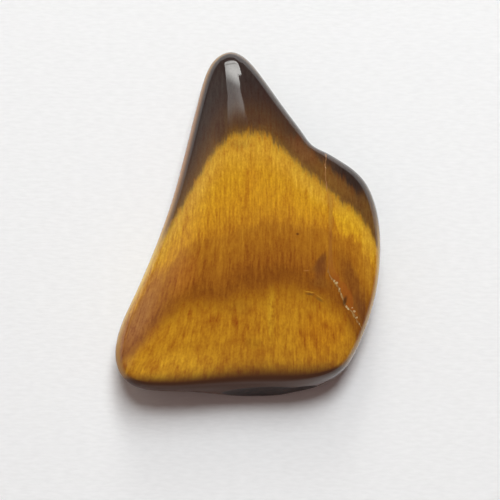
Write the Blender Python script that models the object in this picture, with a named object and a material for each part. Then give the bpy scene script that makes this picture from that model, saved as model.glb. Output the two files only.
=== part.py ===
"""A tumble-polished slab of tiger's eye: one solid piece of banded quartz, with a pointed end, a pillowed face
and a flat base. Run it with: blender --background --python part.py

Metres, +Z up. The origin is under the middle of the slab, on the surface that it rests on.
+Y points to the narrow tip, and +Z out of the polished face.
"""

import math
from collections import namedtuple

import bmesh
import bpy
import numpy as np
from mathutils import Matrix, Vector

MM = 0.001

# The slab in plan, clockwise from the left of the tip, in millimetres. Each station is a place on the rim: x and y,
# how far in the edge turns over and the face begins, how far in the base begins, and how far in the wall leans.
Station = namedtuple("Station", "x y turn_in face_in base_in lean", defaults=(0,))
TIP = (
    Station(-5.8, 19.9, 1.1, 3.1, 1.6),
    Station(-4.45, 22.4, 0.7, 1.9, 1.2),
    Station(-2.5, 23.5, 0.6, 1.6, 1.1),
    Station(-0.5, 22.6, 0.7, 1.9, 1.2),
)
RIGHT = (
    Station(1.7, 19.8, 0.8, 2.8, 1.6),
    Station(4.9, 14.9, 0.8, 3.1, 2.0),
    Station(7.05, 11.75, 0.7, 3.3, 2.2),
    Station(8.45, 9.7, 0.5, 3.2, 2.2),  # the hollow between the tip and the shoulder
    Station(10.15, 8.8, 0.8, 3.6, 2.2),
    Station(12.3, 7.6, 1.3, 4.4, 2.6),
    Station(15.35, 4.85, 1.4, 4.8, 2.8),  # the shoulder
    Station(17.05, -0.1, 1.0, 4.2, 2.8),
    Station(17.15, -5.5, 0.4, 3.0, 2.8),
    Station(16.4, -10.7, 0.3, 2.4, 2.8),
    Station(14.95, -15.2, 0.3, 2.4, 2.6),
    Station(13.35, -18.5, 0.3, 2.4, 2.4),
)
FOOT = (
    Station(11.0, -21.0, 0.4, 2.4, 2.2, 0.0),  # the lower right corner
    Station(6.2, -22.9, 0.8, 2.6, 2.0, 0.45),
    Station(-0.4, -23.4, 0.8, 2.6, 2.0, 0.75),
    Station(-7.6, -22.7, 0.4, 2.2, 2.0, -0.2),
)
LEFT = (
    Station(-14.0, -21.95, 0.2, 2.0, 2.0, -0.45),  # the lower left corner
    Station(-16.9, -19.2, 0.8, 3.0, 2.2),
    Station(-16.7, -15.0, 1.8, 5.0, 2.6),
    Station(-15.2, -11.2, 2.0, 5.5, 2.8),
    Station(-13.6, -7.5, 1.9, 5.4, 2.8),
    Station(-12.0, -3.4, 1.8, 5.0, 2.8),
    Station(-10.65, 0.5, 1.6, 4.6, 2.8),
    Station(-9.65, 3.9, 1.5, 4.3, 2.8),
    Station(-8.9, 6.9, 1.5, 4.1, 2.8),
    Station(-8.2, 9.9, 1.4, 3.9, 2.6),
    Station(-7.5, 13.0, 1.3, 3.7, 2.5),
    Station(-6.75, 16.3, 1.2, 3.4, 2.4),
)
STATIONS = TIP + RIGHT + FOOT + LEFT

# The rounded edge in section, from the base up to the face: each ring's height as a share of the thickness, and its
# place as shares of base_in, lean, turn_in and face_in.
Ring = namedtuple("Ring", "up base lean turn face")
RINGS = (
    Ring(0.0, 1.6, 0, 0, 0),
    Ring(0.0, 1.0, 0, 0, 0),
    Ring(0.10, 0.22, 0, 0, 0),
    Ring(0.36, 0, 0, 0, 0),
    Ring(0.64, 0, 1, 0, 0),
    Ring(0.90, 0, 1, 1, 0),
    Ring(1.0, 0, 1, 0, 1),
)
THICKNESS = 7.15  # at the edge of the face
FALL_START = 5.0  # where the face starts to fall away towards the tip, along y
LONG_FALL = 2.6  # how far the face falls in one long curve towards the tip
NOSE_FALL = 1.2  # how far it falls further, in a short curve at the very tip
NOSE_POWER = 8  # how short that curve is
DOME = 0.55  # how far the middle of the face stands above its edge
END_FADE = 4  # how fast the curves of a cap's two ends die out along it
SMOOTHING = 2  # subdivisions of the cage

# Shallow chips in the wall at the foot, each the mark of an ellipsoid: its middle and its radii in millimetres, and
# its turn in plan in degrees. The first two run together into one lens-shaped scar.
Chip = namedtuple("Chip", "x y z wide deep tall turn")
CHIPS = (
    Chip(1.6, -25.2, 4.0, 9.5, 3.0, 3.6, 3.0),
    Chip(6.0, -24.3, 3.3, 5.0, 2.2, 3.0, 12.0),
    Chip(-7.4, -23.6, 3.2, 1.6, 1.2, 1.4, -2.0),
    Chip(-12.2, -23.3, 3.4, 1.0, 1.1, 1.2, -6.0),
)
CHIP_FACETING = 3  # subdivisions of the cutters
CREASE_ANGLE = 35  # degrees; a sharper meeting than this shows as an edge

STONE_COLOUR = (0.42, 0.20, 0.03, 1)  # golden brown
POLISH = 0.12  # roughness


def inward(index):
    """The direction in plan from a station into the slab, square to the line between its two neighbours."""
    before = STATIONS[index - 1]
    after = STATIONS[(index + 1) % len(STATIONS)]
    way = np.array((after.y - before.y, before.x - after.x))
    return way / np.linalg.norm(way)


def thickness(y):
    """The height of the edge of the face: level over the body, and falling towards the tip."""
    along = max(0, y - FALL_START) / (TIP[2].y - FALL_START)
    return THICKNESS - LONG_FALL * along ** 2 - NOSE_FALL * along ** NOSE_POWER


def hump(share):
    """A parabola that is 0 at both ends of a span and 1 in its middle."""
    return 4 * share * (1 - share)


def cage_through(points):
    """The closed cage whose smoothed curve, a cubic B-spline, passes through these points."""
    count = len(points)
    weights = np.zeros((count, count))
    for i in range(count):
        weights[i, i] = 4 / 6
        weights[i, i - 1] = weights[i, (i + 1) % count] = 1 / 6
    return np.linalg.solve(weights, points)


def rim_ring(ring):
    """The points of one ring of the cage, from its own shares of each station's measures."""
    rows = []
    for index, station in enumerate(STATIONS):
        depth = ring.base * station.base_in + ring.lean * station.lean
        depth += ring.turn * station.turn_in + ring.face * station.face_in
        plan = np.array((station.x, station.y)) + inward(index) * depth
        rows.append((*plan, ring.up * thickness(plan[1])))
    return cage_through(np.array(rows))


def side_of_cap(start, squares, border):
    """The points of a ring from one corner of its cap to the next."""
    return [np.array(border[(start + i) % len(border)]) for i in range(squares + 1)]


def cap_point(u, v, left, right, head, foot):
    """A place inside a cap: between its left and right sides, bent by the curves of its head and its foot.
    Each curve comes as three points: its two ends, and its own place at u."""
    point = (1 - u) * left + u * right
    for (start, end, own), share in ((head, 1 - v), (foot, v)):
        point += share ** END_FADE * (own - (1 - u) * start - u * end)
    return point


def add_cap(points, faces, ring_start, upward):
    """Closes a ring of the cage with a ladder of squares: the domed face if it looks upward, or the flat base."""
    across, down = len(TIP), len(RIGHT)
    around = len(STATIONS)
    border = points[ring_start:ring_start + around]
    head = side_of_cap(0, across, border)
    right = side_of_cap(across, down, border)
    foot = side_of_cap(across + down, across, border)[::-1]
    left = side_of_cap(2 * across + down, down, border)[::-1]
    index = {}
    for row in range(down + 1):
        index[row, 0] = ring_start + (around - row) % around
        index[row, across] = ring_start + across + row
    for column in range(across + 1):
        index[0, column] = ring_start + column
        index[down, column] = ring_start + 2 * across + down - column
    for row in range(1, down):
        v = row / down
        for column in range(1, across):
            u = column / across
            point = cap_point(
                u, v, left[row], right[row], (head[0], head[-1], head[column]), (foot[0], foot[-1], foot[column])
            )
            if upward:
                point[2] = thickness(point[1]) + DOME * hump(u) * math.sqrt(hump(v))
            index[row, column] = len(points)
            points.append(tuple(point))
    for row in range(down):
        for column in range(across):
            square = (index[row, column], index[row + 1, column], index[row + 1, column + 1], index[row, column + 1])
            faces.append(square if upward else square[::-1])


def stone_cage():
    """Points in millimetres and faces of the coarse cage that the smooth slab is made from."""
    count = len(STATIONS)
    rings = [rim_ring(ring) for ring in RINGS]
    points = [tuple(point) for level in rings for point in level]
    faces = []
    for level in range(len(rings) - 1):
        below = level * count
        for i in range(count):
            j = (i + 1) % count
            faces.append((below + i, below + count + i, below + count + j, below + j))
    add_cap(points, faces, 0, upward=False)
    add_cap(points, faces, (len(rings) - 1) * count, upward=True)
    return points, faces


def stone_material():
    material = bpy.data.materials.new("polished_tigers_eye")
    material.use_nodes = True
    shader = material.node_tree.nodes["Principled BSDF"]
    shader.inputs["Base Color"].default_value = STONE_COLOUR
    shader.inputs["Roughness"].default_value = POLISH
    shader.inputs["Metallic"].default_value = 0
    return material


def add_object(name, mesh):
    thing = bpy.data.objects.new(name, mesh)
    bpy.context.scene.collection.objects.link(thing)
    return thing


def make_stone():
    """The slab before it was chipped: its cage, smoothed."""
    points, faces = stone_cage()
    mesh = bpy.data.meshes.new("stone")
    mesh.from_pydata([tuple(value * MM for value in point) for point in points], [], faces)
    mesh.materials.append(stone_material())
    mesh.shade_smooth()
    mesh.set_sharp_from_angle(angle=math.radians(CREASE_ANGLE))
    stone = add_object("stone", mesh)
    smooth = stone.modifiers.new("tumbled", "SUBSURF")
    smooth.levels = smooth.render_levels = SMOOTHING
    return stone


def make_chip_cutter():
    """The ellipsoids that the chips are cut with, in one object that isn't part of the slab."""
    shape = bmesh.new()
    for chip in CHIPS:
        place = Matrix.Translation(Vector((chip.x, chip.y, chip.z)) * MM)
        place @= Matrix.Rotation(math.radians(chip.turn), 4, "Z")
        place @= Matrix.Diagonal((chip.wide * MM, chip.deep * MM, chip.tall * MM, 1))
        bmesh.ops.create_icosphere(shape, subdivisions=CHIP_FACETING, radius=1, matrix=place)
    mesh = bpy.data.meshes.new("chip_cutter")
    shape.to_mesh(mesh)
    shape.free()
    cutter = add_object("chip_cutter", mesh)
    cutter.hide_render = True
    cutter.display_type = "WIRE"
    return cutter


def cut_chips(stone):
    cut = stone.modifiers.new("chips", "BOOLEAN")
    cut.operation = "DIFFERENCE"
    cut.solver = "EXACT"
    cut.use_self = True  # the ellipsoids of the lens-shaped scar overlap
    cut.object = make_chip_cutter()


def main():
    for old in list(bpy.data.objects):
        bpy.data.objects.remove(old)
    cut_chips(make_stone())


main()
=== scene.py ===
"""How a tumble-polished slab of tiger's eye looks: banded golden-brown quartz with silky fibres, cracked on
the right and chipped at the foot. It lies on white paper, in the light of a window.

The stone's sizes are in millimetres, and its outline, edges and chips are those of the part's source.
Everything that is made is in metres, +Z up.
"""

import math
from collections import namedtuple
from functools import partial

import bmesh
import bpy
import numpy as np
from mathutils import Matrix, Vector


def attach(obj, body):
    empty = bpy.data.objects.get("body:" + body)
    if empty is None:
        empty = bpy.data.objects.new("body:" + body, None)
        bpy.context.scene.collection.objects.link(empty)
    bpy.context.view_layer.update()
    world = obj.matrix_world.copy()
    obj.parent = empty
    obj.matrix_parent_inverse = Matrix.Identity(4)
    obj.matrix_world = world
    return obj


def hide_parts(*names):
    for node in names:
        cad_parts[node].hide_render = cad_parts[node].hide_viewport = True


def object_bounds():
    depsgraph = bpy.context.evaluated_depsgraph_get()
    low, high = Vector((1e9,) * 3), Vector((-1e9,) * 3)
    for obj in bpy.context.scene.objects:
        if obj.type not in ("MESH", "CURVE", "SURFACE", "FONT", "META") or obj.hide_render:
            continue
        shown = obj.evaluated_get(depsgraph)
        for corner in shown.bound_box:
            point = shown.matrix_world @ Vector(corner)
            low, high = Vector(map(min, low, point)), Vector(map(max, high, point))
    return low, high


MM = 0.001

# ---- The stone's shape ---------------------------------------------------------------------------

# The slab in plan, clockwise from the left of the tip, in millimetres. Each station is a place on the rim: x
# and y, how far in the edge turns over and the face begins, how far in the base begins, and how far in the
# wall leans.
Station = namedtuple("Station", "x y turn_in face_in base_in lean", defaults=(0,))
TIP = (
    Station(-5.8, 19.9, 1.1, 3.1, 1.6),
    Station(-4.45, 22.4, 0.7, 1.9, 1.2),
    Station(-2.5, 23.5, 0.6, 1.6, 1.1),
    Station(-0.5, 22.6, 0.7, 1.9, 1.2),
)
RIGHT = (
    Station(1.7, 19.8, 0.8, 2.8, 1.6),
    Station(4.9, 14.9, 0.8, 3.1, 2.0),
    Station(7.05, 11.75, 0.7, 3.3, 2.2),
    Station(8.45, 9.7, 0.5, 3.2, 2.2),  # the hollow between the tip and the shoulder
    Station(10.15, 8.8, 0.8, 3.6, 2.2),
    Station(12.3, 7.6, 1.3, 4.4, 2.6),
    Station(15.35, 4.85, 1.4, 4.8, 2.8),  # the shoulder
    Station(17.05, -0.1, 1.0, 4.2, 2.8),
    Station(17.15, -5.5, 0.4, 3.0, 2.8),
    Station(16.4, -10.7, 0.3, 2.4, 2.8),
    Station(14.95, -15.2, 0.3, 2.4, 2.6),
    Station(13.35, -18.5, 0.3, 2.4, 2.4),
)
FOOT = (
    Station(11.0, -21.0, 0.4, 2.4, 2.2, 0.0),  # the lower right corner
    Station(6.2, -22.9, 0.8, 2.6, 2.0, 0.45),
    Station(-0.4, -23.4, 0.8, 2.6, 2.0, 0.75),
    Station(-7.6, -22.7, 0.4, 2.2, 2.0, -0.2),
)
LEFT = (
    Station(-14.0, -21.95, 0.2, 2.0, 2.0, -0.45),  # the lower left corner
    Station(-16.9, -19.2, 0.8, 3.0, 2.2),
    Station(-16.7, -15.0, 1.8, 5.0, 2.6),
    Station(-15.2, -11.2, 2.0, 5.5, 2.8),
    Station(-13.6, -7.5, 1.9, 5.4, 2.8),
    Station(-12.0, -3.4, 1.8, 5.0, 2.8),
    Station(-10.65, 0.5, 1.6, 4.6, 2.8),
    Station(-9.65, 3.9, 1.5, 4.3, 2.8),
    Station(-8.9, 6.9, 1.5, 4.1, 2.8),
    Station(-8.2, 9.9, 1.4, 3.9, 2.6),
    Station(-7.5, 13.0, 1.3, 3.7, 2.5),
    Station(-6.75, 16.3, 1.2, 3.4, 2.4),
)
STATIONS = TIP + RIGHT + FOOT + LEFT

# The rounded edge in section, from the base up to the face: each ring's height as a share of the thickness,
# and its place as shares of base_in, lean, turn_in and face_in.
Ring = namedtuple("Ring", "up base lean turn face")
RINGS = (
    Ring(0.0, 1.6, 0, 0, 0),
    Ring(0.0, 1.0, 0, 0, 0),
    Ring(0.10, 0.22, 0, 0, 0),
    Ring(0.36, 0, 0, 0, 0),
    Ring(0.64, 0, 1, 0, 0),
    Ring(0.90, 0, 1, 1, 0),
    Ring(1.0, 0, 1, 0, 1),
)
THICKNESS = 7.15  # at the edge of the face
FALL_START = 5.0  # where the face starts to fall away towards the tip, along y
LONG_FALL = 2.6  # how far the face falls in one long curve towards the tip
NOSE_FALL = 1.2  # how far it falls further, in a short curve at the very tip
NOSE_POWER = 8  # how short that curve is
DOME = 0.55  # how far the middle of the face stands above its edge
END_FADE = 4  # how fast the curves of a cap's two ends die out along it
SMOOTHING = 4  # subdivisions of the cage

# Chips in the wall at the foot: the middle and the radii of each ellipsoid, and its turn in plan in degrees.
# The first two run together into one lens-shaped scar.
Chip = namedtuple("Chip", "x y z wide deep tall turn")
CHIPS = (
    Chip(1.6, -25.2, 4.0, 9.5, 3.0, 3.6, 3.0),
    Chip(6.0, -24.3, 3.3, 5.0, 2.2, 3.0, 12.0),
    Chip(-7.4, -23.6, 3.2, 1.6, 1.2, 1.4, -2.0),
    Chip(-12.2, -23.3, 3.4, 1.0, 1.1, 1.2, -6.0),
)

# ---- The stone's markings, in plan, in millimetres -----------------------------------------------

HALF_PLAN = 27  # the curves of the markings run this far to both sides of the middle
CURVE_SPAN = 40  # and their values at most this far up and down
# Where the dark end meets the golden silk, and where the silk turns to the amber arch and then back to gold.
# Each curve runs through spots, each an x and a y.
SILK_EDGE = (
    (-27, -23), (-18, -15), (-13, -7), (-11.7, -4.8), (-10.3, -2.8), (-8.7, -0.2), (-7.5, 1.7),
    (-6.4, 3.8), (-5, 6.2), (-3.5, 8), (-2, 9.1), (0, 9.3), (1.9, 9.1), (3.4, 8.2), (5.7, 6.2),
    (8.8, 3.3), (11.9, 0.5), (15, -2.6), (16.6, -5.4), (18, -9), (27, -26),
)
ARCH_TOP = (
    (-27, -38), (-18, -18), (-16, -14.5), (-14, -11.4), (-12, -9.2), (-10, -7.0), (-8, -4.9), (-6, -3.6),
    (-4, -2.9), (-2, -2.5), (0, -1.8), (2, -1.2), (4, -1.3), (6, -1.7), (8, -2.0), (10, -2.6), (12, -3.5),
    (14, -4.2), (16, -7.6), (18, -13), (27, -34),
)
ARCH_FOOT = (
    (-27, -34), (-18, -21.5), (-16, -19.4), (-14, -17), (-12, -14.7), (-10, -12.3), (-8, -11),
    (-6, -10.8), (-4, -10.7), (-2, -10.3), (0, -9.6), (2, -9.6), (3, -8.9), (4, -8.6), (6, -8.7),
    (8, -9.6), (10, -10.5), (12, -12.4), (14, -16), (18, -23), (27, -34),
)
FOOT_Y = -23.4
# The colours from the edge of the silk (0) to the arch (1), past it (2) and on to the foot (3). Their gold is
# partly painted sheen: the silk's shine, brightest near its edge.
SILK_SPAN = 3
SILK_COLOURS = (
    (0.0, "#c79429"), (0.12, "#cd972a"), (0.4, "#cb921c"), (0.66, "#c88b1b"), (0.85, "#c0821b"),
    (0.96, "#b7781a"), (1.08, "#aa6d19"), (1.3, "#a56817"), (1.7, "#985b15"), (1.95, "#8c5211"),
    (2.03, "#8f5512"), (2.13, "#a76d14"), (2.24, "#b67a18"), (3.0, "#b97d18"),
)
# The colours outside the silk, by how many millimetres it is to its edge.
DARK_SPAN = 10
DARK_COLOURS = (
    (1.2, "#715025"), (2.0, "#664520"), (3.0, "#5a3c21"), (4.6, "#4b3321"), (6.5, "#3b2921"),
    (9.0, "#312521"),
)

# The colours of the turned edge on the left and on the right, from the foot up. They are partly painted
# light:
# the glow of light that comes through the thin edge.
RIM_SPAN = 48
LEFT_RIM_GLOW = (
    (2, "#b58436"), (6, "#b8863c"), (10, "#c89c46"), (14, "#e0b650"), (19, "#e4ba48"), (23, "#c49040"),
    (27, "#b07838"), (33, "#a86e34"), (40, "#a06a2e"), (46, "#b08038"),
)
RIGHT_RIM_GLOW = (
    (2, "#6a4a28"), (6, "#a8823e"), (12, "#c09448"), (17, "#d0a444"), (21, "#b48c40"), (24, "#6a4e26"),
    (30, "#3c2c20"), (40, "#3c3024"), (46, "#6a5030"),
)

# Soft-edged ovals of another tint: the middle, the two radii, the turn in degrees (to the left, seen from
# above), the tint and how strongly it covers. Fibres draw out the edges of the first list. The second list is
# of single marks.
Stain = namedtuple("Stain", "x y wide long turn tint cover")
STAIN_SOFTNESS = (1.35, 0.35)  # it is gone past the first share of its radii, and whole inside the second
STAINS = (
    Stain(13.4, 4.6, 1.3, 3.6, 47, "#2c211c", 0.8),  # the dark hump beside the shoulder
    Stain(10.8, 4.4, 1.1, 5.5, 47, "#835720", 0.6),  # orange brown between it and the silk
    Stain(7.0, 8.2, 1.2, 2.6, 42, "#754a26", 0.6),
    Stain(15.6, -0.2, 0.8, 3.0, 18, "#785220", 0.6),
    Stain(-3.6, 11.4, 1.0, 2.6, 0, "#42281b", 0.6),  # reddish brown at the edge of the silk
    Stain(0, 12.2, 2.8, 1.1, 0, "#4e3423", 0.6),
    Stain(-1.2, 8.9, 1.6, 0.7, 0, "#9f6f26", 0.5),
    Stain(13.0, -1.4, 1.6, 2.6, 45, "#d7a422", 0.6),  # bright gold on the right
    Stain(15.3, -4.0, 0.9, 2.4, 15, "#d09c2b", 0.6),
    Stain(0.6, 4.2, 1.2, 2.0, 0, "#bd7a19", 0.4),  # orange in the middle of the silk
    Stain(1.5, -8.4, 4.6, 1.5, 0, "#874e11", 0.5),  # the dark middle of the arch
    Stain(-8.2, -8.0, 1.8, 3.0, -25, "#a86420", 0.5),  # orange amber at its left
    Stain(-12.6, -10.2, 1.4, 3.4, -28, "#a86c2d", 0.6),  # brown on the left bevel
    Stain(-14.0, -14.0, 1.4, 4.5, -28, "#9a622e", 0.8),
    Stain(9.3, -7.6, 0.8, 2.0, -14, "#75431d", 0.7),  # the dark triangle at the crack
    Stain(9.2, -9.6, 1.6, 0.8, 0, "#88571d", 0.5),
    Stain(13.6, -10.2, 1.2, 4.8, 22, "#804b18", 0.8),  # the brown wedge to the right of it
    Stain(14.5, -13.2, 0.7, 2.4, 14, "#72431e", 0.6),
    Stain(15.3, -7.6, 0.5, 3.0, 4, "#bd8323", 0.7),
    Stain(-1.0, -12.8, 1.5, 1.2, 0, "#955e15", 0.4),  # brush-like dark patches in the lower gold
    Stain(0.6, -17.0, 1.1, 0.7, 0, "#976210", 0.4),
    Stain(2.85, -13.4, 0.5, 3.4, 0, "#c69420", 0.5),  # its bright edge
    Stain(9.4, -16.0, 3.4, 3.0, 0, "#b97310", 0.5),  # orange on the lower right
    Stain(-9.0, -20.2, 6.5, 2.0, 0, "#cd9221", 0.8),  # the brighter left of the foot
)
MARKS = (
    Stain(7.75, -10.55, 0.75, 0.07, -10, "#d09c30", 0.7),  # the short curved crack: bright over dark
    Stain(9.0, -11.15, 0.7, 0.06, -33, "#c08c2c", 0.5),
    Stain(7.8, -10.85, 0.6, 0.14, -8, "#6a481b", 0.7),
    Stain(9.0, -11.5, 0.6, 0.18, -32, "#70501e", 0.6),
    Stain(6.3, -3.05, 0.2, 0.17, 0, "#5a2c0c", 0.85),  # a dark pit
    Stain(7.4, -7.8, 0.4, 0.1, 4, "#b98040", 0.5),  # pale scratches
    Stain(9.2, -6.5, 0.45, 1.3, -38, "#6c3f1a", 0.5),  # the dark triangle's left side
    Stain(8.7, -7.6, 0.8, 0.5, 10, "#6c3f1a", 0.4),
)

# The crack down the right of the stone: x by y. To the right of it runs a reddish strip of this width, by y.
CRACK = (
    (-27, 20), (-15, 14.4), (-14.6, 14.1), (-13.9, 13.6), (-13.1, 13.25), (-12.7, 12.8), (-12.4, 12.35),
    (-11.6, 12.1), (-10.6, 11.7), (-9.6, 11.2), (-9.1, 10.85), (-8.4, 10.35), (-6.7, 10.2), (-5.2, 10.35),
    (-3.2, 10.4), (-1, 10.4), (1.4, 10.3), (3.2, 10.1), (6, 10), (7.5, 10.1), (27, 10.5),
)
CRACK_STRIP = (
    (-27, 0), (-15, 0), (-14.3, 0.1), (-13.1, 0.45), (-11.8, 1.2), (-10.6, 1.25), (-9.3, 1.1), (-8, 0.95),
    (-6.7, 0.6), (-5, 0.35), (-3, 0.35), (0, 0.5), (2, 0.45), (3.5, 0.2), (27, 0.1),
)
PIT = Stain(12.25, -11.65, 0.26, 0.7, -15, "#4a2c10", 0.85)  # a dark hole in the crack
# Crumbs of pale clay that stuck in it when it was polished: x, y and radius.
CLAY = "#cfb882"
CRUMB_COVER = 0.8
CRUMBS = [Stain(x, y, radius, radius, 0, CLAY, CRUMB_COVER) for x, y, radius in (
    (10.05, 6.0, 0.1), (10.95, -9.05, 0.13), (11.25, -9.35, 0.17), (11.6, -10.1, 0.08),
    (11.85, -10.7, 0.07), (12.4, -12.4, 0.14), (12.65, -12.65, 0.18), (13.2, -12.55, 0.11),
    (13.45, -12.95, 0.14), (13.7, -13.7, 0.09), (14.1, -14.55, 0.13),
)]

# ---- What is pressed into the face, in millimetres -----------------------------------------------

Lip = namedtuple("Lip", "x y wide long bend groove")
LIP = Lip(8.4, -10.95, 1.4, 0.8, -0.4, 0.18)  # the short curved crack in the lower gold
Crest = namedtuple("Crest", "x y wide long high")
CREST = Crest(-1.7, 16.5, 1.0, 4.5, 0.05)  # the low ridge that runs up to the tip
CRACK_END = -15  # where the long crack ends, in y
CRACK_HALF_WIDTH = 0.16
CRACK_DEPTH = 0.02
PIT_DEPTH = 0.03
CRACK_REACH = 0.4  # how far beside the crack the mesh is fine
CHIP_MARGIN = 0.2  # how far around a chip the mesh is fine
REFINEMENTS = 2
IRONING = 140  # rounds of smoothing of the face
IRON_FROM, IRON_RAMP = 0.82, 0.1  # it is ironed where it looks up by more than this, and fully soon after
IRON_SHARE = 0.5  # how much of the way to its neighbours' mean a point moves in one round

# ---- The fibres and the finishes -----------------------------------------------------------------

# How large the lumps of each noise are along x, y and z, in millimetres. Single fibres are 0.1 mm across or
# less, too fine to show, so the finest noises stand for bundles of them and are drawn at least twice as wide.
BUNDLES = (0.25, 1.2, 1.0)
STREAKS = (0.3, 9.0, 3.0)
SWATHES = (1.7, 7.0, 3.0)
GRAIN = (0.2, 0.3, 0.4)
FLECKS = (0.9, 1.9, 1.5)
RIPPLES = (0.9, 0.5, 0.35)  # in the broken stone, across the fibres
# Paper fibres are 0.02 to 0.05 mm wide, too fine to show, so these are the lines of many of them.
PAPER_GRAIN = (1.4, 0.35, 1.0)

# How much of each of the stone's noises goes into a mix of them.
Shares = namedtuple("Shares", "bundles streaks swathes grain flecks", defaults=(0, 0, 0, 0, 0))
FRAY = Shares(bundles=1.0, streaks=1.2, swathes=1.8)  # how far the bands' edges fray, in millimetres
SILK_FRAY = Shares(bundles=1.2, streaks=0.4)  # how much further where the silk begins
LOWER_FRAY = Shares(flecks=2.8)  # how much further at the lower edge of the arch
SIDE_FRAY = 1.2  # how far the streaks draw the stains aside
# The silk's lightness, bundle by bundle, is partly its own tone and partly painted sheen.
SHEEN_AND_TONE = Shares(bundles=0.95, streaks=0.6, swathes=0.4, grain=0.5, flecks=1.15)
SHEEN_AND_TONE_TINT = (0.75, 1.25, 1.2)  # how much of the sheen and tone goes into red, green and blue

# Towards the lower left corner the fibres lean over: gently from this y down, and from this x to that x by
# these shares of the way down.
LEAN_BELOW, LEAN_SOFTNESS = -3.0, 5.0
FIBRE_LEAN = (3.0, -15.0, 0, 0.26)

# Soft steps: the value where each begins, the value where it is whole, and how much there is of it at both.
SILK_STEP = (1.75, 0.1, 0, 1)  # into the silk, by how far it is to its edge
RIM_STEP = (0.72, 0.45, 0, 0.95)  # over the turned edge, by how far up the skin looks
RIGHT_STEP = (-0.4, 0.5, 0, 1)  # from the left rim to the right one, by how far to the right it looks
LOW_WALL_STEP = (4.2, 1.5, 0, 0.8)  # down the wall, by height
FOOT_STEP = (-0.1, -0.49, 0, 1)  # into the painted shade at the foot, by how far the skin looks along the fibres
FOOT_WALL_STEP = (-0.58, -0.8, 0, 1)  # into the wall at the foot, by the same
SIDEWAYS = 0.45  # how much looking to the side counts against that
WORN_STEP = (0.76, 0.52, 0, 0.9)  # off the polish at the foot, by how far up the skin looks
WORN_BELOW = (-18.5, -22.5, 0, 1)  # and by y, lower down on the right than on the left
WORN_SLANT = 0.25
STRIP_STEP = (-0.25, 0.1, 0, 1)  # into the reddish strip, by how far it is to the right of the crack's line
STRIP_EDGE_STEP = (-0.2, 0.15, 0, 1)  # by how far it is short of the strip's far edge
STRIP_BELOW = (3.6, 1.5, 0, 0.5)  # and by y
RUST_STEP = (-5.0, -9.5, 0, 1)  # from the strip's upper tint to its lower one, by y
THREAD_STEP = (0.09, 0.02, 0, 0.6)  # into the pale thread, by how far it is from the line to either side
THREAD_ABOVE = (2.4, 3.4, 0, 1)  # and by y
LINE_STEP = (0.22, 0.03, 0, 0.6)  # into the dark line, by the same two
LINE_BELOW = (-6.0, -9.0, 0, 1)
CLAY_STEP = (0.16, 0.05, 0, 1)  # into the dust of clay, by the same two
CLAY_BELOW = (-7.0, -9.0, 0, 1)
# Steps that aren't soft: into the mottled lower gold, by the share of the way from the arch to the foot, and
# the others by a noise.
MOTTLE_STEP = (0.0, 0.15, 0, 1)
CLAY_PATCHES = (-0.12, 0.06, 0.25, 0.65)
BREAK_STEP = (-0.15, 0.15, 0, 1)
PAPER_STEP = (-0.2, 0.2, 0, 1)

CRACK_WANDER = 0.7  # how far the bundles throw the crack aside
CRUMB_RAGGEDNESS, CRUMB_NOISE = 0.5, 3.5  # how far a crumb's edge strays, and how many times in a millimetre
THREAD_TINT = "#b07e50"
RUST_HIGH, RUST_LOW = "#99622a", "#a4591c"
LINE_TINT = "#6b4018"
CLAY_DUST = "#b39258"
LOW_WALL_TINT = "#5c3c1e"
# The foot's tints are painted shade, as the foot faces away from the light. The wall's also holds a painted
# reflection of the shaded paper in front of it.
FOOT_SHADE = "#4e2c14"
FOOT_WALL_SHADE_AND_REFLECTION = "#5e4438"
# The broken stone's dark tints are partly painted shade: the chips face down, towards the stone's shadow.
BREAK_DARK, BREAK_LIGHT = "#26140e", "#3c251c"
PAPER_DARK, PAPER_LIGHT = "#f1f1f0", "#f6f6f5"
QUARTZ_IOR = 1.54

# ---- The view and the light ----------------------------------------------------------------------

VIEW_TILT = math.radians(12)  # of the camera from straight down
VIEW_TARGET = (0.23, -4.38, 4.0)  # the place in the middle of the render, in millimetres
LENS, SENSOR = 100, 36  # millimetres
RENDER_PIXELS = 500
MM_PER_PIXEL = 0.13
VIEW_DISTANCE = RENDER_PIXELS * MM_PER_PIXEL * LENS / SENSOR
PAPER_HALF = 0.6  # metres

# Ways out from the stone are an azimuth from the tip's end, clockwise from above, and an elevation, in
# degrees. The colours of lights are linear red, green and blue.
KEY_WAY = (9, 59)
KEY_RADIANCE = 11.25
KEY_SIZE = (0.45, 0.54)  # metres
KEY_COLOUR = (1.0, 1.055, 1.09)
ROOM_COLOUR = (1.0, 0.72, 0.68)
CEILING_STEP = (0.0, 0.35, 0.03, 0.08)  # the room's brightness from the horizon up
# Broad glows in the room: the way to the middle of each, its brightness by how straight one looks at it (1 is
# straight at it), and its colour.
Glow = namedtuple("Glow", "way step colour")
GLOWS = (
    Glow((-65, 35), (0.80, 0.97, 0, 0.45), (1.0, 0.93, 0.82)),  # a pale wall on the left
    Glow((180, 20), (0.1, 0.7, 0, 0.14), ROOM_COLOUR),  # the room in front
)
WINDOW_DISTANCE = 0.8  # metres
WINDOW_COLOUR = (1, 1, 0.97, 1)
# The window's two sides by elevation: elevation, left and right azimuth.
WINDOW = (
    (16, -9, 6), (19, -14, 8.5), (22, -14, 9), (27, -11, 7), (30, -11.5, 4.5), (33, -13, 4),
    (34.2, -14, 5.2), (35, -15, 6), (36.5, -17, 6.8), (38.5, -19.3, 6.8), (42, -20, 6.7), (45, -25, 6.2),
    (48.5, -28, 5), (53, -30, 3.3), (60, -31, 3),
)
WINDOW_PEAK = 8.0
WINDOW_SIDES = (-0.03, 0.05, WINDOW_PEAK * 0.85, WINDOW_PEAK * 1.3)  # its brightness across, by x in metres
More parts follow.
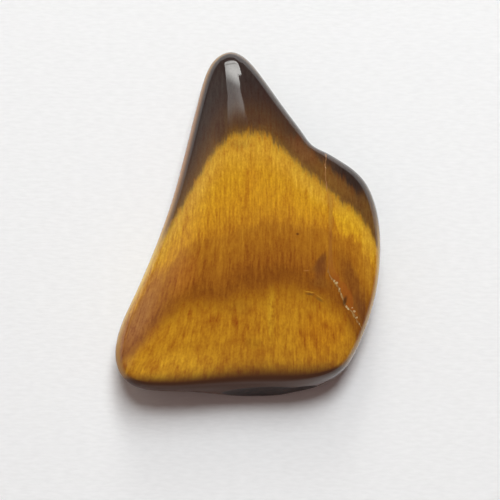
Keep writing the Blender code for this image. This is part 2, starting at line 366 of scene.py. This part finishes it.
# Its brightness by elevation.
WINDOW_LIGHT = (
    (16, 7.2), (21, 7.2), (22, 4.4), (23.4, 4.4), (24.4, 7.4), (31, 8.0), (33.5, 7.0), (35.3, 5.4),
    (36.7, 3.8), (37.8, 2.5), (39, 2.0), (48, 1.95), (50.5, 1.5), (53, 0.9), (55, 0.4), (57, 0.15),
    (60, 0.0),
)

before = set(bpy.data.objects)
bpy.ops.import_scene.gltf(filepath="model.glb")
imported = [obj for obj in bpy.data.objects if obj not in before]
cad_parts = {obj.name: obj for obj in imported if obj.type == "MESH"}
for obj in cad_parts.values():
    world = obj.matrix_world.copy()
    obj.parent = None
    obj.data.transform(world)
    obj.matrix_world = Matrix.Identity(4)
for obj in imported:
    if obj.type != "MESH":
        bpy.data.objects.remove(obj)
cad_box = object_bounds()


def linear(hex_colour):
    """An sRGB hex colour as the linear red, green, blue and alpha that Blender mixes."""
    channels = [int(hex_colour[i:i + 2], 16) / 255 for i in (1, 3, 5)]
    return (*[c / 12.92 if c <= 0.04045 else ((c + 0.055) / 1.055) ** 2.4 for c in channels], 1)


def add_object(name, data):
    thing = bpy.data.objects.new(name, data)
    bpy.context.scene.collection.objects.link(thing)
    return thing


# ---- Building the stone --------------------------------------------------------------------------

def inward(index):
    """The direction in plan from a station into the slab, square to the line between its two neighbours."""
    before = STATIONS[index - 1]
    after = STATIONS[(index + 1) % len(STATIONS)]
    way = np.array((after.y - before.y, before.x - after.x))
    return way / np.linalg.norm(way)


def thickness(y):
    """The height of the edge of the face: level over the body, and falling towards the tip."""
    along = max(0, y - FALL_START) / (TIP[2].y - FALL_START)
    return THICKNESS - LONG_FALL * along ** 2 - NOSE_FALL * along ** NOSE_POWER


def hump(share):
    """A parabola that is 0 at both ends of a span and 1 in its middle."""
    return 4 * share * (1 - share)


def cage_through(points):
    """The closed cage whose smoothed curve, a cubic B-spline, passes through these points. Beside a corner of
    the cage, the curve takes four sixths from that corner and one from each neighbour."""
    count = len(points)
    weights = np.zeros((count, count))
    for i in range(count):
        weights[i, i] = 4 / 6
        weights[i, i - 1] = weights[i, (i + 1) % count] = 1 / 6
    return np.linalg.solve(weights, points)


def rim_ring(ring):
    """The points of one ring of the cage, from its own shares of each station's measures."""
    rows = []
    for index, station in enumerate(STATIONS):
        depth = ring.base * station.base_in + ring.lean * station.lean
        depth += ring.turn * station.turn_in + ring.face * station.face_in
        plan = np.array((station.x, station.y)) + inward(index) * depth
        rows.append((*plan, ring.up * thickness(plan[1])))
    return cage_through(np.array(rows))


def side_of_cap(start, squares, border):
    """The points of a ring from one corner of its cap to the next."""
    return [np.array(border[(start + i) % len(border)]) for i in range(squares + 1)]


def cap_point(u, v, left, right, head, foot):
    """A place inside a cap: between its left and right sides, bent by the curves of its head and its foot.
    Each curve comes as three points: its two ends, and its own place at u."""
    point = (1 - u) * left + u * right
    for (start, end, own), share in ((head, 1 - v), (foot, v)):
        point += share ** END_FADE * (own - (1 - u) * start - u * end)
    return point


def add_cap(points, faces, ring_start, upward):
    """Closes a ring of the cage with a ladder of squares: the domed face if it looks upward, or the flat
    base."""
    across, down = len(TIP), len(RIGHT)
    around = len(STATIONS)
    border = points[ring_start:ring_start + around]
    head = side_of_cap(0, across, border)
    right = side_of_cap(across, down, border)
    foot = side_of_cap(across + down, across, border)[::-1]
    left = side_of_cap(2 * across + down, down, border)[::-1]
    index = {}
    for row in range(down + 1):
        index[row, 0] = ring_start + (around - row) % around
        index[row, across] = ring_start + across + row
    for column in range(across + 1):
        index[0, column] = ring_start + column
        index[down, column] = ring_start + 2 * across + down - column
    for row in range(1, down):
        v = row / down
        for column in range(1, across):
            u = column / across
            own_head = head[0], head[-1], head[column]
            own_foot = foot[0], foot[-1], foot[column]
            point = cap_point(u, v, left[row], right[row], own_head, own_foot)
            if upward:
                point[2] = thickness(point[1]) + DOME * hump(u) * math.sqrt(hump(v))
            index[row, column] = len(points)
            points.append(tuple(point))
    for row in range(down):
        for column in range(across):
            corners = (row, column), (row + 1, column), (row + 1, column + 1), (row, column + 1)
            square = tuple(index[corner] for corner in corners)
            faces.append(square if upward else square[::-1])


def stone_cage():
    """Points in millimetres and faces of the coarse cage that the smooth slab is made from."""
    count = len(STATIONS)
    rings = [rim_ring(ring) for ring in RINGS]
    points = [tuple(point) for level in rings for point in level]
    faces = []
    for level in range(len(rings) - 1):
        below = level * count
        for i in range(count):
            j = (i + 1) % count
            faces.append((below + i, below + count + i, below + count + j, below + j))
    add_cap(points, faces, 0, upward=False)
    add_cap(points, faces, (len(rings) - 1) * count, upward=True)
    return points, faces


def tumbled_mesh():
    """The smooth slab before it was chipped and cracked, as a fine mesh."""
    points, faces = stone_cage()
    cage = bpy.data.meshes.new("cage")
    cage.from_pydata([tuple(value * MM for value in point) for point in points], [], faces)
    holder = add_object("cage", cage)
    smooth = holder.modifiers.new("tumbled", "SUBSURF")
    smooth.levels = smooth.render_levels = SMOOTHING
    evaluated = holder.evaluated_get(bpy.context.evaluated_depsgraph_get())
    mesh = bpy.data.meshes.new_from_object(evaluated)
    bpy.data.objects.remove(holder)
    return mesh


def smooth_heights(points, edges, share):
    """Levels the small waves that the cage's corners leave in the face: each point's height moves to the mean
    of its neighbours', by its own share."""
    ends = np.concatenate((edges, edges[:, ::-1]))
    count = np.bincount(ends[:, 0], minlength=len(points))
    for _ in range(IRONING):
        mean = np.bincount(ends[:, 0], weights=points[ends[:, 1], 2], minlength=len(points)) / count
        points[:, 2] += share * (mean - points[:, 2])


def curve_value(spots, along):
    """The value of one of the markings' curves, as drawn straight from spot to spot."""
    return np.interp(along, *np.array(spots).T)


def on_top(points):
    """Tells which points are in the upper half of the stone."""
    return points[:, 2] > THICKNESS / 2


def near_damage(points):
    """Tells which points lie on a chip or beside a crack, where the mesh has to be fine."""
    to_crack = np.abs(points[:, 0] - curve_value(CRACK, points[:, 1]))
    on_crack = (to_crack < CRACK_REACH) & (points[:, 1] > CRACK_END)
    to_lip = np.hypot((points[:, 0] - LIP.x) / LIP.wide, (points[:, 1] - LIP.y) / LIP.long)
    near = (on_crack | (to_lip < 1)) & on_top(points)
    for chip in CHIPS:
        across, into, far = chip_depth(points, chip, CHIP_MARGIN)
        near |= (across < 1) & (np.abs(into) < far)
    return near


def refine_damage(mesh):
    """Cuts the mesh finer near the damage, and rounds the new points as the old ones are."""
    shape = bmesh.new()
    shape.from_mesh(mesh)
    for _ in range(REFINEMENTS):
        near = near_damage(np.array([vertex.co for vertex in shape.verts]) / MM)
        shape.verts.index_update()
        edges = [edge for edge in shape.edges if near[edge.verts[0].index] or near[edge.verts[1].index]]
        bmesh.ops.subdivide_edges(shape, edges=edges, cuts=1, smooth=1, use_grid_fill=True)
    shape.to_mesh(mesh)
    shape.free()


def chip_ways(chip):
    """The level ways along the wall and into the stone at a chip."""
    turn = math.radians(chip.turn)
    return np.array((math.cos(turn), math.sin(turn), 0)), np.array((-math.sin(turn), math.cos(turn), 0))


def chip_depth(points, chip, margin=0):
    """For one chip: how far out each point lies across it (1 is its edge), how far in the point lies, and how
    far in the chip reaches there."""
    along, into = chip_ways(chip)
    away = points - np.array((chip.x, chip.y, chip.z))
    across = (away @ along / (chip.wide + margin)) ** 2 + (away[:, 2] / (chip.tall + margin)) ** 2
    return across, away @ into, (chip.deep + margin) * np.sqrt(np.clip(1 - across, 0, None))


def press_chips(points):
    """Moves the points that lie inside a chip's ellipsoid back to its far side, and tells which moved."""
    chipped = np.zeros(len(points), bool)
    for chip in CHIPS:
        across, into, far = chip_depth(points, chip)
        inside = (across < 1) & (np.abs(into) < far)
        points[inside] += np.outer((far - into)[inside], chip_ways(chip)[1])
        chipped |= inside
    return chipped


def press_cracks(points):
    """Sinks the crack, its pits and the short curved crack into the face. Each crumb lies in a pit."""
    x, y = points[:, 0], points[:, 1]
    beside = np.abs(x - curve_value(CRACK, y)) / CRACK_HALF_WIDTH
    sunk = CRACK_DEPTH * np.clip(1 - beside ** 2, 0, 1) * (y > CRACK_END)
    for pit in (PIT, *CRUMBS):
        beside = np.hypot((x - pit.x) / pit.wide, (y - pit.y) / pit.long)
        sunk = np.maximum(sunk, PIT_DEPTH * np.clip(1 - beside ** 2, 0, 1))
    beside = np.hypot((x - LIP.x) / LIP.wide, (y - LIP.y - LIP.bend * (x - LIP.x)) / LIP.groove)
    sunk = np.maximum(sunk, CRACK_DEPTH * np.clip(1 - beside ** 2, 0, 1))
    points[:, 2] -= sunk * on_top(points)


def raise_crest(points):
    """Rounds the end of the face into a low ridge."""
    away = np.hypot((points[:, 0] - CREST.x) / CREST.wide, (points[:, 1] - CREST.y) / CREST.long)
    points[:, 2] += CREST.high * np.exp(-away ** 2 / 2) * on_top(points)


def fit_inside(points, box):
    """Draws the points in by the hair that this finer curve stands out of the coarse solid's box."""
    for axis, (low, high) in enumerate(zip(*box)):
        own = points[:, axis].min(), points[:, axis].max()
        points[:, axis] = np.interp(points[:, axis], own, (max(own[0], low / MM), min(own[1], high / MM)))


def mesh_points(mesh):
    """The places of a mesh's points in millimetres."""
    points = np.empty(len(mesh.vertices) * 3, np.float32)
    mesh.vertices.foreach_get("co", points)
    return points.reshape(-1, 3).astype(float) / MM


def place_points(mesh, points):
    mesh.vertices.foreach_set("co", (points * MM).astype(np.float32).ravel())
    mesh.update()


def level_face(mesh):
    """Irons the polished face where it looks up, leaves the turn of the edge as it is, and adds the ridge."""
    points = mesh_points(mesh)
    upward = np.array([vertex.normal.z for vertex in mesh.vertices])
    edges = np.empty(len(mesh.edges) * 2, np.int32)
    mesh.edges.foreach_get("vertices", edges)
    share = np.clip((upward - IRON_FROM) / IRON_RAMP, 0, 1) * IRON_SHARE
    smooth_heights(points, edges.reshape(-1, 2), share)
    raise_crest(points)
    place_points(mesh, points)


def show_breaks(mesh, chipped):
    """Gives the faces whose points all lie in a chip the second material, the broken stone."""
    corners = np.empty(len(mesh.loops), np.int32)
    mesh.loops.foreach_get("vertex_index", corners)
    starts = np.empty(len(mesh.polygons), np.int32)
    mesh.polygons.foreach_get("loop_start", starts)
    breaks = np.minimum.reduceat(chipped[corners], starts).astype(np.int32)
    mesh.polygons.foreach_set("material_index", breaks)


def sharpen_breaks(mesh):
    """Makes the edges between broken and polished stone crisp, as a fresh break's are."""
    shape = bmesh.new()
    shape.from_mesh(mesh)
    for edge in shape.edges:
        edge.smooth = len({face.material_index for face in edge.link_faces}) == 1
    shape.to_mesh(mesh)
    shape.free()


def make_stone(polished, broken):
    """The stone as it is seen: tumbled, levelled, cracked and chipped."""
    mesh = tumbled_mesh()
    level_face(mesh)
    refine_damage(mesh)
    points = mesh_points(mesh)
    press_cracks(points)
    chipped = press_chips(points)
    fit_inside(points, cad_box)
    place_points(mesh, points)
    mesh.materials.append(polished)
    mesh.materials.append(broken)
    show_breaks(mesh, chipped)
    mesh.shade_smooth()
    sharpen_breaks(mesh)
    return add_object("polished_stone", mesh)


# ---- Materials -----------------------------------------------------------------------------------

MATH, MAP, MIX, VECTOR = "ShaderNodeMath", "ShaderNodeMapRange", "ShaderNodeMix", "ShaderNodeVectorMath"
SMOOTHLY = {"interpolation_type": "SMOOTHSTEP"}
COLOURS = {"data_type": "RGBA"}


def add_node(tree, kind, inputs=(), **settings):
    """Adds a node with its settings, and sets or links its inputs, by place among those in use or by name.
    A node given as an input stands for its first output in use."""
    node = tree.nodes.new(kind)
    for name, value in settings.items():
        setattr(node, name, value)
    for key, value in inputs.items() if isinstance(inputs, dict) else enumerate(inputs):
        socket = node.inputs[key] if isinstance(key, str) else [s for s in node.inputs if s.enabled][key]
        if isinstance(value, bpy.types.Node):
            value = next(s for s in value.outputs if s.enabled)
        if isinstance(value, bpy.types.NodeSocket):
            tree.links.new(value, socket)
        else:
            socket.default_value = value
    return node


def new_material(name):
    """A bare material, and a short way of adding nodes to it."""
    material = bpy.data.materials.new(name)
    material.use_nodes = True
    material.node_tree.nodes.clear()
    return material, partial(add_node, material.node_tree)


def marking_curve(put, along, spots):
    """One of the markings' curves: its value, in millimetres, at this place along it."""
    share = put(MAP, (along, -HALF_PLAN, HALF_PLAN, 0, 1))
    node = put("ShaderNodeFloatCurve", {"Value": share.outputs[0]})
    curve = node.mapping.curves[0]
    while len(curve.points) < len(spots):
        curve.points.new(0.5, 0.5)
    for point, (place, value) in zip(curve.points, spots):
        point.location = ((place / HALF_PLAN + 1) / 2, (value / CURVE_SPAN + 1) / 2)
        point.handle_type = "AUTO_CLAMPED"
    node.mapping.update()
    return put(MAP, (node, 0, 1, -CURVE_SPAN, CURVE_SPAN))


def band_colours(put, along, stops, span):
    """The colours of bands that lie side by side, from these stops along a span."""
    node = put("ShaderNodeValToRGB", (put(MATH, (along, span), operation="DIVIDE"),))
    ramp = node.color_ramp
    while len(ramp.elements) < len(stops):
        ramp.elements.new(1)
    for element, (place, tint) in zip(ramp.elements, stops):
        element.position = place / span
        element.color = linear(tint)
    return node


def millimetres(put):
    """The place on the object, in millimetres."""
    return put(VECTOR, (put("ShaderNodeTexCoord").outputs["Object"], (1 / MM,) * 3), operation="MULTIPLY")


def fibres(put, place, sizes, detail=2.0):
    """Noise between -0.5 and 0.5 whose lumps have these sizes, in millimetres, along x, y and z."""
    scaled = put(VECTOR, (place, tuple(1 / size for size in sizes)), operation="MULTIPLY")
    noise = put("ShaderNodeTexNoise", {"Vector": scaled.outputs[0], "Scale": 1.0, "Detail": detail})
    return put(MATH, (noise, 0.5), operation="SUBTRACT")


def blend(put, start, noises, shares):
    """A value with its share of each noise added."""
    total = start
    for noise, share in zip(noises, shares):
        if share:
            total = put(MATH, (noise, share, total), operation="MULTIPLY_ADD")
    return total


def overlap(put, steps):
    """How strongly several soft steps cover a place together: the product of them all."""
    cover = 1.0
    for value, step in steps:
        cover = put(MATH, (cover, put(MAP, (value, *step), **SMOOTHLY)), operation="MULTIPLY")
    return cover


def stained(put, colour, place, stain):
    """Tints a soft-edged oval of the stone."""
    away = put(VECTOR, (place, (stain.x, stain.y, 0)), operation="SUBTRACT")
    turned = put("ShaderNodeVectorRotate", {"Vector": away.outputs[0], "Angle": -math.radians(stain.turn)},
                 rotation_type="Z_AXIS")
    shares = put(VECTOR, (turned, (1 / stain.wide, 1 / stain.long, 0)), operation="MULTIPLY")
    reach = put(VECTOR, (shares,), operation="LENGTH")
    cover = put(MAP, (reach.outputs["Value"], *STAIN_SOFTNESS, 0, stain.cover), **SMOOTHLY)
    return put(MIX, (cover, colour, linear(stain.tint)), **COLOURS)


def cracked(put, colour, x, y, place, bundles):
    """Draws the crack: a pale thread at the rim, a reddish streak below it, and at its lower end a reddish
    strip beside a dark line, with dust and crumbs of clay in it and one dark pit."""
    wander = put(MATH, (bundles, CRACK_WANDER, x), operation="MULTIPLY_ADD")
    beside = put(MATH, (wander, marking_curve(put, y, CRACK)), operation="SUBTRACT")
    to_edge = put(MATH, (marking_curve(put, y, CRACK_STRIP), beside), operation="SUBTRACT")
    strip = overlap(put, ((beside, STRIP_STEP), (to_edge, STRIP_EDGE_STEP), (y, STRIP_BELOW)))
    rust = put(MIX, (put(MAP, (y, *RUST_STEP), **SMOOTHLY), linear(RUST_HIGH), linear(RUST_LOW)), **COLOURS)
    colour = put(MIX, (strip, colour, rust), **COLOURS)
    off_line = put(MATH, (beside,), operation="ABSOLUTE")
    thread = overlap(put, ((off_line, THREAD_STEP), (y, THREAD_ABOVE)))
    colour = put(MIX, (thread, colour, linear(THREAD_TINT)), **COLOURS)
    dark_line = overlap(put, ((off_line, LINE_STEP), (y, LINE_BELOW)))
    colour = put(MIX, (dark_line, colour, linear(LINE_TINT)), **COLOURS)
    dust = overlap(put, ((off_line, CLAY_STEP), (y, CLAY_BELOW)))
    dust = put(MATH, (dust, put(MAP, (bundles, *CLAY_PATCHES))), operation="MULTIPLY")
    colour = put(MIX, (dust, colour, linear(CLAY_DUST)), **COLOURS)
    colour = stained(put, colour, place, PIT)
    noise = put("ShaderNodeTexNoise", {"Vector": place.outputs[0], "Scale": CRUMB_NOISE}).outputs["Color"]
    strays = (CRUMB_RAGGEDNESS, CRUMB_RAGGEDNESS, 0)
    ragged = put(VECTOR, (noise, strays, place), operation="MULTIPLY_ADD")
    ragged = put(VECTOR, (ragged, tuple(stray / 2 for stray in strays)), operation="SUBTRACT")
    for crumb in CRUMBS:
        colour = stained(put, colour, ragged, crumb)
    return colour


def leaning_fibres(put, x, y, z):
    """Places along and across the fibres, which run up the stone and lean over at its lower left."""
    below = put(MATH, (put(MATH, (LEAN_BELOW, y), operation="SUBTRACT"), 0.0, LEAN_SOFTNESS),
                operation="SMOOTH_MAX")
    lean = put(MAP, (x, *FIBRE_LEAN))
    across = put(MATH, (lean, below, x), operation="MULTIPLY_ADD")
    return put("ShaderNodeCombineXYZ", (across, y, z))


def banded(put, x, silk_y, arch_y, lower_y):
    """The colours of the bands, and how far each place is on the way from the arch (0) to the foot (1). Each
    edge between bands has its own frayed y."""
    silk_edge = marking_curve(put, x, SILK_EDGE)
    arch_top = marking_curve(put, x, ARCH_TOP)
    arch_foot = marking_curve(put, x, ARCH_FOOT)
    in_silk = put(MAP, (silk_y, silk_edge, arch_top, 0, 1))
    in_arch = put(MAP, (arch_y, arch_top, arch_foot, 0, 1))
    past_arch = put(MAP, (lower_y, arch_foot, FOOT_Y, 0, 1))
    down = put(MATH, (put(MATH, (in_silk, in_arch), operation="ADD"), past_arch), operation="ADD")
    silk = band_colours(put, down, SILK_COLOURS, SILK_SPAN)
    outside = put(MATH, (silk_y, silk_edge), operation="SUBTRACT")
    dark = band_colours(put, outside, DARK_COLOURS, DARK_SPAN)
    return put(MIX, (put(MAP, (outside, *SILK_STEP), **SMOOTHLY), dark, silk), **COLOURS), past_arch


def edged(put, colour, y, z, facing):
    """Colours the turned edge and the walls. The glow of light through the thin edge is painted in: brown at
    the tip, gold along the silk and tan below. The walls are dark lower down. At the foot, across the ends of
    the fibres, the edge and the wall are painted shade, as the foot faces away from the light and the fibre
    ends send back no sheen; the wall's greyish tint is a painted reflection of the shaded paper."""
    up_rim = put(MATH, (y, RIM_SPAN / 2), operation="ADD")
    left, right = [band_colours(put, up_rim, stops, RIM_SPAN) for stops in (LEFT_RIM_GLOW, RIGHT_RIM_GLOW)]
    rim_glow = put(MIX, (put(MAP, (facing[0], *RIGHT_STEP), **SMOOTHLY), left, right), **COLOURS)
    sideways = put(MATH, (facing[0],), operation="ABSOLUTE")
    endwise = put(MATH, (sideways, SIDEWAYS, facing[1]), operation="MULTIPLY_ADD")
    layers = (
        (facing[2], RIM_STEP, rim_glow),
        (z, LOW_WALL_STEP, linear(LOW_WALL_TINT)),
        (endwise, FOOT_STEP, linear(FOOT_SHADE)),
        (endwise, FOOT_WALL_STEP, linear(FOOT_WALL_SHADE_AND_REFLECTION)),
    )
    for value, step, tint in layers:
        colour = put(MIX, (put(MAP, (value, *step), **SMOOTHLY), colour, tint), **COLOURS)
    return colour


def polished_tigers_eye():
    """Tiger's eye is quartz that grew through crocidolite fibres, which rusted to gold and brown. Tumbling it
    with ever finer grit gives the eye a glassy skin over a silky inside."""
    material, put = new_material("polished_tigers_eye")
    place = millimetres(put)
    x, y, z = put("ShaderNodeSeparateXYZ", (place,)).outputs
    facing = put("ShaderNodeSeparateXYZ", (put("ShaderNodeTexCoord").outputs["Normal"],)).outputs

    along_fibres = leaning_fibres(put, x, y, z)
    noises = Shares(
        bundles=fibres(put, along_fibres, BUNDLES),
        streaks=fibres(put, along_fibres, STREAKS),
        swathes=fibres(put, along_fibres, SWATHES),
        grain=fibres(put, along_fibres, GRAIN, detail=1.0),
        flecks=fibres(put, along_fibres, FLECKS),
    )

    # The edges of the bands fray along the fibres, most where the silk begins.
    frayed_y = blend(put, y, noises, FRAY)
    silk_y = blend(put, frayed_y, noises, SILK_FRAY)
    lower_y = blend(put, frayed_y, noises, LOWER_FRAY)
    colour, past_arch = banded(put, x, silk_y, frayed_y, lower_y)

    # The stains fray too, and a little sideways as well.
    frayed_x = put(MATH, (noises.streaks, SIDE_FRAY, x), operation="MULTIPLY_ADD")
    frayed = put("ShaderNodeCombineXYZ", (frayed_x, frayed_y, 0.0))
    for stain in STAINS:
        colour = stained(put, colour, frayed, stain)

    # Bundle by bundle the silk is yellower and lighter, or redder and darker: partly its own tone and partly
    # painted sheen.
    mottle = put(MATH, (noises.flecks, put(MAP, (past_arch, *MOTTLE_STEP))), operation="MULTIPLY")
    sheen_and_tone = blend(put, 0.0, noises._replace(flecks=mottle), SHEEN_AND_TONE)
    tone = put(VECTOR, (sheen_and_tone, SHEEN_AND_TONE_TINT, (1, 1, 1)), operation="MULTIPLY_ADD")
    colour = put(VECTOR, (colour, tone), operation="MULTIPLY")

    for mark in MARKS:
        colour = stained(put, colour, place, mark)
    colour = cracked(put, colour, x, y, place, noises.bundles)
    colour = edged(put, colour, y, z, facing)

    # The wall at the foot and round the lower left corner was ground, but the polishing hardly reached it.
    slanted_y = put(MATH, (x, WORN_SLANT, y), operation="MULTIPLY_ADD")
    worn = overlap(put, ((facing[2], WORN_STEP), (slanted_y, WORN_BELOW)))
    polish = put(MATH, (1.0, worn), operation="SUBTRACT")
    # The streaks wore down unevenly, just enough to ripple what the polish mirrors.
    relief = put("ShaderNodeBump", {"Height": noises.streaks, "Strength": 0.06, "Distance": 0.02 * MM})
    # The coat is the polish. The silk under it hardly shines by itself; its sheen is painted into its
    # colours.
    skin = put("ShaderNodeBsdfPrincipled", {
        "Base Color": colour, "Roughness": 0.45, "IOR": QUARTZ_IOR, "Specular IOR Level": 0.06,
        "Coat Weight": polish, "Coat Roughness": 0.03, "Coat IOR": QUARTZ_IOR, "Coat Normal": relief,
    })
    put("ShaderNodeOutputMaterial", {"Surface": skin})
    return material


def broken_tigers_eye():
    """The same stone where it chipped after polishing. The break is rippled across the fibres and dull. Its
    dark
    tints are partly painted shade: the chips face down, towards the stone's shadow on the paper."""
    material, put = new_material("broken_tigers_eye")
    ripples = fibres(put, millimetres(put), RIPPLES)
    share = put(MAP, (ripples, *BREAK_STEP))
    tint = put(MIX, (share, linear(BREAK_DARK), linear(BREAK_LIGHT)), **COLOURS)
    relief = put("ShaderNodeBump", {"Height": ripples, "Strength": 0.5, "Distance": 0.1 * MM})
    skin = put("ShaderNodeBsdfPrincipled", {
        "Base Color": tint, "Roughness": 0.5, "IOR": QUARTZ_IOR, "Specular IOR Level": 0.25, "Normal": relief,
    })
    put("ShaderNodeOutputMaterial", {"Surface": skin})
    return material


def white_paper():
    """Uncoated drawing paper, bright and matt. Its fibres settled in faint lines as it was made, which can
    only just be seen."""
    material, put = new_material("white_paper")
    grain = fibres(put, millimetres(put), PAPER_GRAIN)
    share = put(MAP, (grain, *PAPER_STEP))
    tint = put(MIX, (share, linear(PAPER_DARK), linear(PAPER_LIGHT)), **COLOURS)
    relief = put("ShaderNodeBump", {"Height": grain, "Strength": 0.5, "Distance": 0.03 * MM})
    skin = put("ShaderNodeBsdfPrincipled", {
        "Base Color": tint, "Roughness": 0.9, "Specular IOR Level": 0.1, "Normal": relief,
    })
    put("ShaderNodeOutputMaterial", {"Surface": skin})
    return material


# ---- The stage -----------------------------------------------------------------------------------

def make_paper():
    corners = [(x * PAPER_HALF, y * PAPER_HALF, 0) for x, y in ((-1, -1), (1, -1), (1, 1), (-1, 1))]
    mesh = bpy.data.meshes.new("paper")
    mesh.from_pydata(corners, [], [(0, 1, 2, 3)])
    mesh.materials.append(white_paper())
    paper = add_object("paper", mesh)


def direction(azimuth, elevation):
    """A way out from the stone, as a vector of length 1."""
    a, e = math.radians(azimuth), math.radians(elevation)
    return Vector((math.sin(a) * math.cos(e), math.cos(a) * math.cos(e), math.sin(e)))


def window_glow():
    """The light in the window: brightest low down, and brighter to its right."""
    material, put = new_material("window_glow")
    x, _, z = put("ShaderNodeSeparateXYZ", (put("ShaderNodeTexCoord").outputs["Object"],)).outputs
    height = put(MATH, (z, WINDOW_DISTANCE), operation="DIVIDE")
    node = put("ShaderNodeValToRGB", (height,))
    ramp = node.color_ramp
    while len(ramp.elements) < len(WINDOW_LIGHT):
        ramp.elements.new(1)
    for element, (elevation, radiance) in zip(ramp.elements, WINDOW_LIGHT):
        element.position = math.sin(math.radians(elevation))
        element.color = (*[radiance / WINDOW_PEAK] * 3, 1)
    strength = put(MATH, (node, put(MAP, (x, *WINDOW_SIDES))), operation="MULTIPLY")
    glow = put("ShaderNodeEmission", {"Color": WINDOW_COLOUR, "Strength": strength})
    put("ShaderNodeOutputMaterial", {"Surface": glow})
    return material


def make_window():
    """A glowing card in the shape of the window that the polish mirrors."""
    points = [direction(side, elevation) * WINDOW_DISTANCE for elevation, *sides in WINDOW for side in sides]
    faces = [(i, i + 1, i + 3, i + 2) for i in range(0, len(points) - 2, 2)]
    mesh = bpy.data.meshes.new("window")
    mesh.from_pydata(points, [], faces)
    mesh.materials.append(window_glow())
    window = add_object("window", mesh)
    window.visible_camera = False


def make_key_light():
    """An oval soft box, high up beyond the tip and kept out of the reflections. Its energy gives all of the
    oval the same radiance."""
    data = bpy.data.lights.new("soft_box", "AREA")
    data.shape = "ELLIPSE"
    data.size, data.size_y = KEY_SIZE
    data.color = KEY_COLOUR
    data.energy = KEY_RADIANCE * math.pi ** 2 * data.size * data.size_y / 4
    light = add_object("soft_box", data)
    light.location = direction(*KEY_WAY) * WINDOW_DISTANCE
    light.rotation_euler = light.location.to_track_quat("Z", "Y").to_euler()
    light.visible_glossy = light.visible_camera = False


def make_room():
    """The dim room around: darkest at the horizon, with a pale wall on the left and a faint glow in front."""
    world = bpy.data.worlds.new("room")
    world.use_nodes = True
    world.node_tree.nodes.clear()
    put = partial(add_node, world.node_tree)
    way = put("ShaderNodeTexCoord").outputs["Generated"]
    height = put("ShaderNodeSeparateXYZ", (way,)).outputs[2]
    ceiling = put(MAP, (height, *CEILING_STEP), **SMOOTHLY)
    light = put(VECTOR, {0: ROOM_COLOUR, "Scale": ceiling.outputs[0]}, operation="SCALE")
    for glow in GLOWS:
        straight = put(VECTOR, (way, direction(*glow.way)), operation="DOT_PRODUCT").outputs["Value"]
        strength = put(MAP, (straight, *glow.step), **SMOOTHLY)
        glowing = put(VECTOR, {0: glow.colour, "Scale": strength.outputs[0]}, operation="SCALE")
        light = put(VECTOR, (light, glowing), operation="ADD")
    sky = put("ShaderNodeBackground", {"Color": light.outputs[0]})
    put("ShaderNodeOutputWorld", {"Surface": sky})
    bpy.context.scene.world = world


def make_camera():
    """A camera over the stone, tilted a little towards its foot."""
    back = Vector((0, -math.sin(VIEW_TILT), math.cos(VIEW_TILT)))
    data = bpy.data.cameras.new("camera")
    data.lens = LENS
    data.sensor_width = SENSOR
    data.clip_start = MM
    camera = add_object("camera", data)
    camera.location = (Vector(VIEW_TARGET) + back * VIEW_DISTANCE) * MM
    camera.rotation_euler = (VIEW_TILT, 0, 0)
    bpy.context.scene.camera = camera


def main():
    make_camera()
    make_key_light()
    make_window()
    make_room()
    make_paper()
    stone = make_stone(polished_tigers_eye(), broken_tigers_eye())
    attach(stone, "root")
    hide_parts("stone")
    bpy.context.scene.view_settings.view_transform = "Standard"


main()
